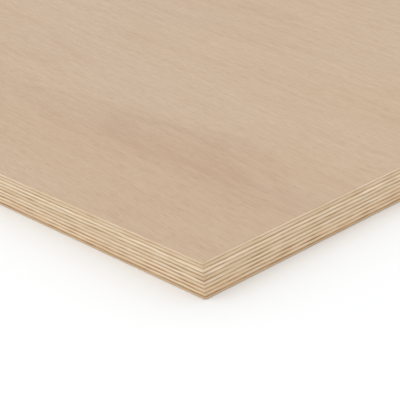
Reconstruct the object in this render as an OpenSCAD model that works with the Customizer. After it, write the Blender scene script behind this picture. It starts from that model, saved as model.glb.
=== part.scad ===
// Plywood sheet: ten rotary-cut veneers, glued face to face with their grain crossed.
// The sheet lies on its back. The origin is the centre of the back, X runs along the
// grain of the face, Y across it, and Z up through the thickness.
// The two plies at the centre run the same way, so that the even number of plies is
// balanced and the grain of the face and of the back runs along the sheet.

/* [Sheet] */
// Length of the sheet, along the grain of its face
sheet_length = 2440; // [600:10:3050]
// Width of the sheet, across the grain of its face
sheet_width = 1220; // [300:10:1525]

/* [Veneers] */
// Thickness of the face veneer, after sanding
face_thickness = 1.4; // [0.6:0.1:3]
// Thickness of the back veneer, after sanding
back_thickness = 1.4; // [0.6:0.1:3]
// Thickness of each crossband, whose grain runs across the sheet
crossband_thickness = 1.9; // [0.8:0.1:4]
// Thickness of each inner ply whose grain runs along the sheet
long_ply_thickness = 1.9; // [0.8:0.1:4]
// Thickness of each of the two parallel plies at the centre
centre_ply_thickness = 1.9; // [0.8:0.1:4]

/* [Hidden] */

// Thickness of each ply from the face down, so that ply n is entry n - 1
PLY_THICKNESS = [
    face_thickness, crossband_thickness, long_ply_thickness, crossband_thickness,
    centre_ply_thickness, centre_ply_thickness,
    crossband_thickness, long_ply_thickness, crossband_thickness, back_thickness
];
PLY_COUNT = len(PLY_THICKNESS);

// Colours of sanded veneer: the face and back, then plies cut along and across the grain
FACE_COLOUR = [0.80, 0.70, 0.60];
LONG_GRAIN_COLOUR = [0.91, 0.81, 0.67];
CROSS_GRAIN_COLOUR = [0.82, 0.71, 0.57];

// Height of the underside of ply n, which is the sum of the plies below it
function ply_base(n) = n == PLY_COUNT ? 0 : PLY_THICKNESS[n] + ply_base(n + 1);

// One veneer of the full sheet, as ply n of the stack
module ply(n) {
    thickness = PLY_THICKNESS[n - 1];
    translate([-sheet_length / 2, -sheet_width / 2, ply_base(n)])
        cube([sheet_length, sheet_width, thickness]);
}

// The better outer veneer, sanded, with its grain along the sheet
module face_veneer() {
    color(FACE_COLOUR) ply(1);
}

// An inner veneer with its grain across the sheet
module crossband(n) {
    color(CROSS_GRAIN_COLOUR) ply(n);
}

// An inner veneer with its grain along the sheet
module long_ply(n) {
    color(LONG_GRAIN_COLOUR) ply(n);
}

// One of the two parallel veneers on either side of the mid-plane
module centre_ply(n) {
    color(LONG_GRAIN_COLOUR) ply(n);
}

// The outer veneer that the sheet lies on, with its grain along the sheet
module back_veneer() {
    color(FACE_COLOUR) ply(PLY_COUNT);
}

back_veneer();
crossband(9);  // crossband_9
long_ply(8);  // long_ply_8
crossband(7);  // crossband_7
centre_ply(6);  // centre_ply_6
centre_ply(5);  // centre_ply_5
crossband(4);  // crossband_4
long_ply(3);  // long_ply_3
crossband(2);  // crossband_2
face_veneer();
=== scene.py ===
"""A full sheet of plywood, lying flat: ten rotary-cut veneers, nine glue lines and square sawn edges.

After the stage come the ten plies, from the face down, then the sanded face and back, then the glue.
Lengths are in metres. MM turns a size in millimetres into metres.
"""
import math

import bmesh
import bpy
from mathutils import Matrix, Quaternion, Vector


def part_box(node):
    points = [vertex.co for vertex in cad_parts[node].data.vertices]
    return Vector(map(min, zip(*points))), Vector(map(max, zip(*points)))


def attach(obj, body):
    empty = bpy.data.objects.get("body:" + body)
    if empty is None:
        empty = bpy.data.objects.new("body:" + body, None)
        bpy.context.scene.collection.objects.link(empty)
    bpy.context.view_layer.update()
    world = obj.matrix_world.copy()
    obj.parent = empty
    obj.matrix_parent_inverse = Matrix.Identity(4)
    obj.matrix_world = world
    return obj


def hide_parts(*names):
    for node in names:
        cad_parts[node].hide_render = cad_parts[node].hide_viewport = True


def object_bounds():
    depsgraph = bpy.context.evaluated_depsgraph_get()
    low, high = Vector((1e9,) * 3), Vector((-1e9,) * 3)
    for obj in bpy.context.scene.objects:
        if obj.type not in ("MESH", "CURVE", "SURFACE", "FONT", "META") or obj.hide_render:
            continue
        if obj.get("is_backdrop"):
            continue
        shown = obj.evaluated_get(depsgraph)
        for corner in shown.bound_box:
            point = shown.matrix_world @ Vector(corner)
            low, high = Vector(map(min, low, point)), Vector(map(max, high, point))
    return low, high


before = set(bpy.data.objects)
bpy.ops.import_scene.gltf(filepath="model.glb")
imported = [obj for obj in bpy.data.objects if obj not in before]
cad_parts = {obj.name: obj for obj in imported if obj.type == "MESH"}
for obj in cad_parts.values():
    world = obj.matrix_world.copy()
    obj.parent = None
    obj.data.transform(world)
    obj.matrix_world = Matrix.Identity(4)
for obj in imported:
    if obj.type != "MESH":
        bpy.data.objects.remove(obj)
cad_low, cad_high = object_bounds()
MM = 0.001


# ---------------------------------------------------------------------------------------------
# Camera: it stands off the front right corner of the sheet and looks down on it through a long
# lens from close by. It leans a little to one side.
# ---------------------------------------------------------------------------------------------
LENS = 125.6
AZIMUTH = math.radians(49.5)
ELEVATION = math.radians(24.6)
LEAN = math.radians(-4.5)
DISTANCE = 638.4 * MM
corner = Vector((cad_high.x, cad_low.y, cad_high.z))
look_at = corner + Vector((-46.7, 41.3, 0)) * MM

backwards = Vector((
    math.sin(AZIMUTH) * math.cos(ELEVATION),
    -math.cos(AZIMUTH) * math.cos(ELEVATION),
    math.sin(ELEVATION),
))
camera_data = bpy.data.cameras.new("camera")
camera_data.sensor_width = 36
camera_data.lens = LENS
camera_data.clip_start = 0.02
camera_data.clip_end = 200
camera = bpy.data.objects.new("camera", camera_data)
camera.location = look_at + backwards * DISTANCE
camera.rotation_mode = "QUATERNION"
camera.rotation_quaternion = (-backwards).to_track_quat("-Z", "Y") @ Quaternion((0, 0, 1), LEAN)
bpy.context.scene.collection.objects.link(camera)
bpy.context.scene.camera = camera


# ---------------------------------------------------------------------------------------------
# Stage: a matt white studio floor under an even white sky. One large softbox above it, to the
# left, makes the long front edge slightly brighter than the short one.
# ---------------------------------------------------------------------------------------------
def linear(hex_colour, alpha=1.0):
    """An sRGB hex value such as "CBB299" as a linear colour."""
    channels = [int(hex_colour[i:i + 2], 16) / 255 for i in (0, 2, 4)]
    return [c / 12.92 if c <= 0.04045 else ((c + 0.055) / 1.055) ** 2.4 for c in channels] + [alpha]


def add(material, kind, settings=None, links=None):
    """Adds a node. settings holds its properties and unlinked inputs, links the outputs that feed it."""
    node = material.node_tree.nodes.new(kind)
    for key, value in (settings or {}).items():
        if isinstance(key, int) or key in node.inputs:
            node.inputs[key].default_value = value
        else:
            setattr(node, key, value)
    for key, source in (links or {}).items():
        material.node_tree.links.new(source, node.inputs[key])
    return node


def new_material(name):
    """A material with no nodes yet."""
    material = bpy.data.materials.new(name)
    material.use_nodes = True
    material.node_tree.nodes.clear()
    return material


# Painted studio floor: white, matt and even.
floor_paint = new_material("white_floor_paint")
floor_shader = add(
    floor_paint, "ShaderNodeBsdfPrincipled", {"Base Color": linear("ECEDED"), "Roughness": 0.8}
)
add(floor_paint, "ShaderNodeOutputMaterial", links={"Surface": floor_shader.outputs["BSDF"]})

FLOOR_SIZE = 160
FLOOR_DROP = 0.1 * MM  # keeps the floor clear of the back of the sheet
floor_mesh = bpy.data.meshes.new("floor")
shape = bmesh.new()
bmesh.ops.create_grid(shape, x_segments=1, y_segments=1, size=FLOOR_SIZE / 2)
bmesh.ops.translate(shape, verts=shape.verts, vec=(0, 0, cad_low.z - FLOOR_DROP))
shape.to_mesh(floor_mesh)
shape.free()
floor_mesh.materials.append(floor_paint)
floor = bpy.data.objects.new("floor", floor_mesh)
bpy.context.scene.collection.objects.link(floor)
floor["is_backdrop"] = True

SKY_STRENGTH = 1.055
world = bpy.data.worlds.new("studio_sky")
world.use_nodes = True
world.node_tree.nodes["Background"].inputs["Color"].default_value = linear("FFFFFF")
world.node_tree.nodes["Background"].inputs["Strength"].default_value = SKY_STRENGTH
bpy.context.scene.world = world

SOFTBOX_PLACE = (0.6, -2.6, 3.2)
SOFTBOX_SIZE = (3.0, 2.0)
SOFTBOX_WATTS = 28
softbox_data = bpy.data.lights.new("softbox", "AREA")
softbox_data.shape = "RECTANGLE"
softbox_data.size, softbox_data.size_y = SOFTBOX_SIZE
softbox_data.energy = SOFTBOX_WATTS
softbox = bpy.data.objects.new("softbox", softbox_data)
softbox.location = SOFTBOX_PLACE
softbox.rotation_mode = "QUATERNION"
softbox.rotation_quaternion = (corner - softbox.location).to_track_quat("-Z", "Y")
bpy.context.scene.collection.objects.link(softbox)

bpy.context.scene.view_settings.view_transform = "Standard"


# ---------------------------------------------------------------------------------------------
# Plies: each is a thin sheet of wood, peeled from a turning log by a long knife, dried, and cut
# to the size of the sheet. The stack is glued in a hot press, and its edges are then sawn square.
# ---------------------------------------------------------------------------------------------
GLUE_THICKNESS = 0.14 * MM
CORNER_EASE = 0.2 * MM
BACK_CORNER_EASE = 1.1 * MM  # the corners of the back are knocked round in handling
ARRIS_EASE = 0.2 * MM
CROSSBAND_RECESS = 0.04 * MM  # crossbands and long plies don't quite finish flush

# For baking, the edges are unrolled onto a map in stretches, one to a row: those of the long front
# edge lowest, then those of the long rear, short right and short left edges.
STRETCH = 305 * MM
LONG_STRETCHES = math.ceil((cad_high.x - cad_low.x) / STRETCH - 0.01)
SHORT_STRETCHES = math.ceil((cad_high.y - cad_low.y) / STRETCH - 0.01)
ROWS = 2 * (LONG_STRETCHES + SHORT_STRETCHES)
FIRST_ROWS = ((0, LONG_STRETCHES), (2 * LONG_STRETCHES + SHORT_STRETCHES, 2 * LONG_STRETCHES))
ROW_FILL = 0.8  # the rest of a row is its upper and lower margin
SIDE_MARGIN = 0.004


def unroll(mesh, low, high, shown):
    """Lays a plate out on its own map, "OFBake". shown is +1 or -1 if the upper or lower flat is in sight,
    which then gets most of the map, in two halves side by side. Hidden flats get narrow strips."""
    if shown:
        rows_top = 0.34
        strips = {shown: (0.38, 0.996), -shown: (0.35, 0.37)}
    else:
        rows_top = 0.86
        strips = {1: (0.88, 0.93), -1: (0.95, 0.996)}
    middle = (low.y + high.y) / 2
    layer = mesh.uv_layers.new(name="OFBake")
    for polygon in mesh.polygons:
        normal = polygon.normal
        centre = polygon.center
        for loop in polygon.loop_indices:
            point = mesh.vertices[mesh.loops[loop].vertex_index].co
            if abs(normal.z) > 0.98:
                bottom, top = strips[1 if normal.z > 0 else -1]
                half = 1 if centre.y > middle else 0
                along = (point.x - low.x) / (high.x - low.x)
                across = (point.y - low.y) / (middle - low.y) - half
                u = half / 2 + SIDE_MARGIN + (0.5 - 2 * SIDE_MARGIN) * along
                v = bottom + (top - bottom) * across
            else:
                axis = 0 if abs(normal.y) >= abs(normal.x) else 1
                stretch = int((centre[axis] - cad_low[axis]) / STRETCH)
                row = FIRST_ROWS[axis][normal[1 - axis] > 0] + stretch
                along = (point[axis] - cad_low[axis]) / STRETCH - stretch
                rise = (point.z - low.z) / (high.z - low.z)
                u = SIDE_MARGIN + (1 - 2 * SIDE_MARGIN) * along
                v = rows_top * (row + (1 - ROW_FILL) / 2 + ROW_FILL * rise) / ROWS
            layer.data[loop].uv = (u, v)


def plate(name, low, high, recess, corner_ease=CORNER_EASE, shown=0):
    """A flat plate between two corners, set back from its sides by recess, with eased upright edges.
    shown is +1 or -1 if its upper or lower flat is in sight, whose rim is then eased as well."""
    shape = bmesh.new()
    bmesh.ops.create_cube(shape, size=1)
    size = high - low - Vector((2 * recess, 2 * recess, 0))
    bmesh.ops.scale(shape, verts=shape.verts, vec=size)
    bmesh.ops.translate(shape, verts=shape.verts, vec=(low + high) / 2)
    upright = [e for e in shape.edges if abs(e.verts[0].co.z - e.verts[1].co.z) > size.z / 2]
    bmesh.ops.bevel(
        shape, geom=upright, offset=corner_ease, segments=4, profile=0.5, affect="EDGES", material=-1
    )
    if shown:
        level = high.z if shown > 0 else low.z
        rim = [e for e in shape.edges if all(abs(v.co.z - level) < 0.01 * MM for v in e.verts)]
        bmesh.ops.bevel(
            shape, geom=rim, offset=ARRIS_EASE, segments=2, profile=0.5, affect="EDGES", material=-1
        )
    for axis, stretches in ((Vector((1, 0, 0)), LONG_STRETCHES), (Vector((0, 1, 0)), SHORT_STRETCHES)):
        for cut in range(1, stretches):
            bmesh.ops.bisect_plane(
                shape, geom=shape.verts[:] + shape.edges[:] + shape.faces[:],
                plane_co=cad_low + axis * STRETCH * cut, plane_no=axis,
            )
    mesh = bpy.data.meshes.new(name)
    shape.to_mesh(mesh)
    shape.free()
    unroll(mesh, low, high, shown)
    piece = bpy.data.objects.new(name, mesh)
    bpy.context.scene.collection.objects.link(piece)
    return piece


def stretched(length, width, depth=1000, start=(0, 0)):
    """Mapping settings that draw the patches of a noise out to this many millimetres along each axis.
    start is the place, in metres, at which the pattern begins."""
    scale = (1000 / length, 1000 / width, 1000 / depth)
    return {"Scale": scale, "Location": (start[0] * scale[0], start[1] * scale[1], 0)}


# Sawn veneer: matt cream wood with fine fibres, browner where glue soaked in and where hands have
# held the sheet.
SOAK_REACH = 0.7 * MM
HANDLED_REACH = 8 * MM


def sawn_edge(name, tone, thirst, along_x, glue_heights, seed):
    """thirst is how readily the veneer takes up glue."""
    material = new_material(name)
    place = add(material, "ShaderNodeTexCoord")
    # Fibres: 30 mm along the grain and 0.5 mm across it, in layers of 0.4 mm.
    fibre_size = (30, 0.5, 0.4) if along_x else (0.5, 30, 0.4)
    fibre_place = add(
        material, "ShaderNodeMapping",
        {**stretched(*fibre_size), "Location": (seed * 7.3, seed * 3.1, 0)},
        {"Vector": place.outputs["Object"]},
    )
    fibre = add(
        material, "ShaderNodeTexNoise", {"Scale": 1.0, "Detail": 3.0, "Roughness": 0.6},
        {"Vector": fibre_place.outputs["Vector"]},
    )
    # Mottling: 14 mm long and 1.2 mm high.
    mottle_place = add(
        material, "ShaderNodeMapping",
        {**stretched(14, 14, 1.2), "Location": (seed * 1.7, seed * 5.9, seed)},
        {"Vector": place.outputs["Object"]},
    )
    mottle = add(
        material, "ShaderNodeTexNoise", {"Scale": 1.0, "Detail": 3.0, "Roughness": 0.6},
        {"Vector": mottle_place.outputs["Vector"]},
    )
    blend = add(
        material, "ShaderNodeMath", {"operation": "MULTIPLY_ADD", 1: 0.4},
        {0: fibre.outputs["Fac"], 2: mottle.outputs["Fac"]},
    )
    depth_of_tone = add(
        material, "ShaderNodeMapRange", {"From Min": 0.55, "From Max": 0.9, "To Max": 0.5},
        {"Value": blend.outputs[0]},
    )
    colour = add(
        material, "ShaderNodeMix", {"data_type": "RGBA", 6: linear(tone), 7: linear("BE9A6B")},
        {0: depth_of_tone.outputs["Result"]},
    )
    # Glue has soaked into the wood beside each glue line, more in some 11 mm patches than in others.
    patch_place = add(
        material, "ShaderNodeMapping",
        {**stretched(11, 11, 1.5), "Location": (seed * 4.1, seed * 2.3, -seed)},
        {"Vector": place.outputs["Object"]},
    )
    patch = add(
        material, "ShaderNodeTexNoise", {"Scale": 1.0, "Detail": 2.0, "Roughness": 0.5},
        {"Vector": patch_place.outputs["Vector"]},
    )
    strength = add(
        material, "ShaderNodeMapRange",
        {"From Min": 0.35, "From Max": 0.68, "To Min": 0.2 * thirst, "To Max": thirst},
        {"Value": patch.outputs["Fac"]},
    )
    axes = add(material, "ShaderNodeSeparateXYZ", links={0: place.outputs["Object"]})
    for glue_height in glue_heights:
        above = add(
            material, "ShaderNodeMath", {"operation": "SUBTRACT", 1: glue_height}, {0: axes.outputs["Z"]}
        )
        distance = add(material, "ShaderNodeMath", {"operation": "ABSOLUTE"}, {0: above.outputs[0]})
        nearness = add(
            material, "ShaderNodeMapRange",
            {"interpolation_type": "SMOOTHSTEP", "From Min": SOAK_REACH, "From Max": 0},
            {"Value": distance.outputs[0]},
        )
        soak = add(
            material, "ShaderNodeMath", {"operation": "MULTIPLY"},
            {0: nearness.outputs["Result"], 1: strength.outputs["Result"]},
        )
        colour = add(
            material, "ShaderNodeMix", {"data_type": "RGBA", 7: linear("8E6B45")},
            {0: soak.outputs[0], 6: colour.outputs[2]},
        )
    # Handling has browned the wood toward the upright corners, most of all in the last 2 mm.
    mirrored = add(
        material, "ShaderNodeVectorMath", {"operation": "ABSOLUTE"}, {0: place.outputs["Object"]}
    )
    level = add(
        material, "ShaderNodeVectorMath", {"operation": "MULTIPLY", 1: (1, 1, 0)},
        {0: mirrored.outputs[0]},
    )
    from_corner = add(
        material, "ShaderNodeVectorMath", {"operation": "DISTANCE", 1: (cad_high.x, cad_high.y, 0)},
        {0: level.outputs[0]},
    )
    closeness = add(
        material, "ShaderNodeMapRange", {"From Min": HANDLED_REACH, "From Max": 0},
        {"Value": from_corner.outputs["Value"]},
    )
    steep = add(
        material, "ShaderNodeMath", {"operation": "POWER", 1: 2.0}, {0: closeness.outputs["Result"]}
    )
    browning = add(material, "ShaderNodeMath", {"operation": "MULTIPLY", 1: 0.2}, {0: steep.outputs[0]})
    colour = add(
        material, "ShaderNodeMix", {"data_type": "RGBA", 7: linear("986A38")},
        {0: browning.outputs[0], 6: colour.outputs[2]},
    )
    roughness = add(
        material, "ShaderNodeMapRange", {"To Min": 0.62, "To Max": 0.85}, {"Value": fibre.outputs["Fac"]}
    )
    bump = add(
        material, "ShaderNodeBump", {"Strength": 0.5, "Distance": 0.05 * MM},
        {"Height": fibre.outputs["Fac"]},
    )
    shader = add(
        material, "ShaderNodeBsdfPrincipled", {"IOR": 1.45, "Specular IOR Level": 0.3},
        {
            "Base Color": colour.outputs[2],
            "Roughness": roughness.outputs["Result"],
            "Normal": bump.outputs["Normal"],
        },
    )
    add(material, "ShaderNodeOutputMaterial", links={"Surface": shader.outputs["BSDF"]})
    return material


# Every ply from the face down: its CAD node, name, slot, edge tone and thirst.
PLIES = [
    ("face_veneer", "ply_1_face", "face_veneer", "DCC8AF", 0.35),
    ("crossband_2", "ply_2_crossband", "crossband", "D8C3A8", 0.85),
    ("long_ply_3", "ply_3_long", "long_ply", "E7D4BA", 1.0),
    ("crossband_4", "ply_4_crossband", "crossband", "E0CDB3", 0.9),
    ("centre_ply_5", "ply_5_centre", "long_ply", "D8C4A8", 0.85),
    ("centre_ply_6", "ply_6_centre", "long_ply", "E1CDB4", 1.0),
    ("crossband_7", "ply_7_crossband", "crossband", "E0CBAE", 1.1),
    ("long_ply_8", "ply_8_long", "long_ply", "E2CAAC", 1.2),
    ("crossband_9", "ply_9_crossband", "crossband", "DEC7A9", 1.2),
    ("back_veneer", "ply_10_back", "back_veneer", "CCB293", 1.0),
]
SHOWN = {"face_veneer": 1, "back_veneer": -1}

pieces = {}
for number, (node, name, slot, tone, thirst) in enumerate(PLIES, start=1):
    along_x = slot != "crossband"
    low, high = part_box(node)
    glue_heights = []
    if number > 1:
        glue_heights.append(high.z)
        high.z -= GLUE_THICKNESS / 2
    if number < len(PLIES):
        glue_heights.append(low.z)
        low.z += GLUE_THICKNESS / 2
    recess = 0 if along_x else CROSSBAND_RECESS
    corner_ease = BACK_CORNER_EASE if node == "back_veneer" else CORNER_EASE
    piece = plate(name, low, high, recess, corner_ease, SHOWN.get(node, 0))
    edge = sawn_edge(name + "_sawn_veneer", tone, thirst, along_x, glue_heights, number)
    piece.data.materials.append(edge)
    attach(piece, "root")
    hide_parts(node)
    pieces[node] = piece


# ---------------------------------------------------------------------------------------------
# Face and back: the flats of the two outer plies, sanded smooth after pressing and left bare. The
# better veneer is the face, and the sheet lies on the other.
# ---------------------------------------------------------------------------------------------
# Sanded okoume: matt pinkish tan wood, with soft clouds of tone, faint wavy figure, and short
# pores that lie along the grain.
def sanded_veneer(name, pale, warm, deep, figure_start, slow_start, grain_start):
    """The starts, in metres, are where on the log the figure, the slow change and the grain begin."""
    material = new_material(name)
    place = add(material, "ShaderNodeTexCoord")
    # Drift between greyish and warm tan, 250 mm long and 90 mm wide.
    drift_place = add(
        material, "ShaderNodeMapping", stretched(250, 90, start=figure_start),
        {"Vector": place.outputs["Object"]},
    )
    drift = add(
        material, "ShaderNodeTexNoise", {"Scale": 1.0, "Detail": 3.0, "Roughness": 0.45},
        {"Vector": drift_place.outputs["Vector"]},
    )
    drift_tone = add(
        material, "ShaderNodeMapRange", {"From Min": 0.35, "From Max": 0.65},
        {"Value": drift.outputs["Fac"]},
    )
    base = add(
        material, "ShaderNodeMix", {"data_type": "RGBA", 6: linear(pale), 7: linear(warm)},
        {0: drift_tone.outputs["Result"]},
    )
    # Figure: the knife slices through uneven growth rings, which show as nested reddish bands. The
    # rings undulate over 300 mm along the grain and 80 mm across it.
    ring_place = add(
        material, "ShaderNodeMapping", stretched(300, 80, start=figure_start),
        {"Vector": place.outputs["Object"]},
    )
    undulation = add(
        material, "ShaderNodeTexNoise", {"Scale": 1.0, "Detail": 2.0, "Roughness": 0.45},
        {"Vector": ring_place.outputs["Vector"]},
    )
    ring = add(
        material, "ShaderNodeMath", {"operation": "MULTIPLY", 1: 5.0}, {0: undulation.outputs["Fac"]}
    )
    band = add(
        material, "ShaderNodeTexNoise",
        {"noise_dimensions": "1D", "Scale": 1.0, "Detail": 2.0, "Roughness": 0.6},
        {"W": ring.outputs[0]},
    )
    band_tone = add(
        material, "ShaderNodeMapRange", {"From Min": 0.45, "From Max": 0.75, "To Max": 0.37},
        {"Value": band.outputs["Fac"]},
    )
    # Slow change across the sheet, 1200 mm long and 140 mm wide.
    slow_place = add(
        material, "ShaderNodeMapping", stretched(1200, 140, start=slow_start),
        {"Vector": place.outputs["Object"]},
    )
    slow = add(
        material, "ShaderNodeTexNoise", {"Scale": 1.0, "Detail": 2.0, "Roughness": 0.5},
        {"Vector": slow_place.outputs["Vector"]},
    )
    slow_tone = add(
        material, "ShaderNodeMapRange", {"From Min": 0.62, "From Max": 0.38, "To Max": 0.13},
        {"Value": slow.outputs["Fac"]},
    )
    depth_of_tone = add(
        material, "ShaderNodeMath", {"operation": "ADD"},
        {0: band_tone.outputs["Result"], 1: slow_tone.outputs["Result"]},
    )
    figured = add(
        material, "ShaderNodeMix", {"data_type": "RGBA", 7: linear(deep)},
        {0: depth_of_tone.outputs[0], 6: base.outputs[2]},
    )
    # The grain wanders sideways by up to 100 mm over about 700 mm.
    wander_place = add(
        material, "ShaderNodeMapping", stretched(700, 500, start=grain_start),
        {"Vector": place.outputs["Object"]},
    )
    wander = add(
        material, "ShaderNodeTexNoise", {"Scale": 1.0, "Detail": 1.0},
        {"Vector": wander_place.outputs["Vector"]},
    )
    sideways = add(
        material, "ShaderNodeMath", {"operation": "MULTIPLY_ADD", 1: 0.2, 2: -0.1},
        {0: wander.outputs["Fac"]},
    )
    shift = add(material, "ShaderNodeCombineXYZ", links={"Y": sideways.outputs[0]})
    grain = add(
        material, "ShaderNodeVectorMath", {"operation": "ADD"},
        {0: place.outputs["Object"], 1: shift.outputs[0]},
    )
    # Broad streaks, 70 mm long and 4 mm wide, and fine fibres, 14 mm long and 0.8 mm wide.
    streak_place = add(material, "ShaderNodeMapping", stretched(70, 4), {"Vector": grain.outputs[0]})
    streak = add(
        material, "ShaderNodeTexNoise", {"Scale": 1.0, "Detail": 2.0, "Roughness": 0.5},
        {"Vector": streak_place.outputs["Vector"]},
    )
    fibre_place = add(material, "ShaderNodeMapping", stretched(14, 0.8), {"Vector": grain.outputs[0]})
    fibre = add(
        material, "ShaderNodeTexNoise", {"Scale": 1.0, "Detail": 3.0, "Roughness": 0.65},
        {"Vector": fibre_place.outputs["Vector"]},
    )
    lines = add(
        material, "ShaderNodeMath", {"operation": "MULTIPLY_ADD", 1: 0.4},
        {0: streak.outputs["Fac"], 2: fibre.outputs["Fac"]},
    )
    line_tone = add(
        material, "ShaderNodeMapRange", {"From Min": 0.55, "From Max": 0.95, "To Max": 0.42},
        {"Value": lines.outputs[0]},
    )
    streaked = add(
        material, "ShaderNodeMix", {"data_type": "RGBA", 7: linear(deep)},
        {0: line_tone.outputs["Result"], 6: figured.outputs[2]},
    )
    # Pores: 6 mm long and 0.4 mm wide, open grooves in the sanded face.
    pore_place = add(material, "ShaderNodeMapping", stretched(6, 0.4), {"Vector": grain.outputs[0]})
    pore = add(
        material, "ShaderNodeTexNoise", {"Scale": 1.0, "Detail": 1.0, "Roughness": 0.5},
        {"Vector": pore_place.outputs["Vector"]},
    )
    pore_tone = add(
        material, "ShaderNodeMapRange", {"From Min": 0.56, "From Max": 0.7, "To Max": 0.4},
        {"Value": pore.outputs["Fac"]},
    )
    pored = add(
        material, "ShaderNodeMix", {"data_type": "RGBA", 7: linear(deep)},
        {0: pore_tone.outputs["Result"], 6: streaked.outputs[2]},
    )
    roughness = add(
        material, "ShaderNodeMapRange", {"To Min": 0.52, "To Max": 0.72}, {"Value": lines.outputs[0]}
    )
    bump = add(
        material, "ShaderNodeBump", {"invert": True, "Strength": 0.6, "Distance": 0.04 * MM},
        {"Height": pore_tone.outputs["Result"]},
    )
    shader = add(
        material, "ShaderNodeBsdfPrincipled", {"IOR": 1.45, "Specular IOR Level": 0.3},
        {
            "Base Color": pored.outputs[2],
            "Roughness": roughness.outputs["Result"],
            "Normal": bump.outputs["Normal"],
        },
    )
    add(material, "ShaderNodeOutputMaterial", links={"Surface": shader.outputs["BSDF"]})
    return material


FLATS = {
    "face_veneer": sanded_veneer(
        "sanded_okoume_face", "C2AE97", "C1AB91", "A58369", (9.18, 10.97), (8.99, 4.8), (6.66, 7.09)
    ),
    "back_veneer": sanded_veneer(
        "sanded_okoume_back", "BFA88F", "BDA286", "A27F64", (3.9, 11.7), (2.3, 6.1), (4.55, 0.75)
    ),
}
for node, okoume in FLATS.items():
    mesh = pieces[node].data
    mesh.materials.append(okoume)
    for polygon in mesh.polygons:
        if polygon.normal.z * SHOWN[node] > 0.3:
            polygon.material_index = 1


# ---------------------------------------------------------------------------------------------
# Glue lines: phenolic resin, spread between the veneers and cured in the hot press into thin hard
# films, which the saw cuts with the wood.
# ---------------------------------------------------------------------------------------------
GLUE_RECESS = 0.03 * MM


# Cured resin: brown, a little glossier than the wood, darker in some stretches than in others.
def cured_resin(name, seed):
    material = new_material(name)
    place = add(material, "ShaderNodeTexCoord")
    patch_place = add(
        material, "ShaderNodeMapping",
        {**stretched(30, 30), "Location": (seed * 3.7, seed * 1.3, seed)},
        {"Vector": place.outputs["Object"]},
    )
    patches = add(
        material, "ShaderNodeTexNoise", {"Scale": 1.0, "Detail": 4.0, "Roughness": 0.6},
        {"Vector": patch_place.outputs["Vector"]},
    )
    tone = add(
        material, "ShaderNodeMapRange", {"From Min": 0.3, "From Max": 0.7},
        {"Value": patches.outputs["Fac"]},
    )
    colour = add(
        material, "ShaderNodeMix", {"data_type": "RGBA", 6: linear("A07C52"), 7: linear("6B4A2B")},
        {0: tone.outputs["Result"]},
    )
    # Fine pits, 0.5 mm across, where the saw broke the brittle film.
    pit = add(
        material, "ShaderNodeTexNoise", {"Scale": 1 / (0.5 * MM), "Detail": 2.0, "Roughness": 0.6},
        {"Vector": place.outputs["Object"]},
    )
    roughness = add(
        material, "ShaderNodeMapRange", {"To Min": 0.35, "To Max": 0.6}, {"Value": pit.outputs["Fac"]}
    )
    bump = add(
        material, "ShaderNodeBump", {"Strength": 0.5, "Distance": 0.03 * MM},
        {"Height": pit.outputs["Fac"]},
    )
    shader = add(
        material, "ShaderNodeBsdfPrincipled", {"IOR": 1.6},
        {
            "Base Color": colour.outputs[2],
            "Roughness": roughness.outputs["Result"],
            "Normal": bump.outputs["Normal"],
        },
    )
    add(material, "ShaderNodeOutputMaterial", links={"Surface": shader.outputs["BSDF"]})
    return material


for number in range(1, len(PLIES)):
    low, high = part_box(PLIES[number][0])
    low.z = high.z - GLUE_THICKNESS / 2
    high.z += GLUE_THICKNESS / 2
    name = f"glue_line_{number}"
    film = plate(name, low, high, GLUE_RECESS)
    film.data.materials.append(cured_resin(name + "_cured_resin", number))
    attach(film, "root")


low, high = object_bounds()
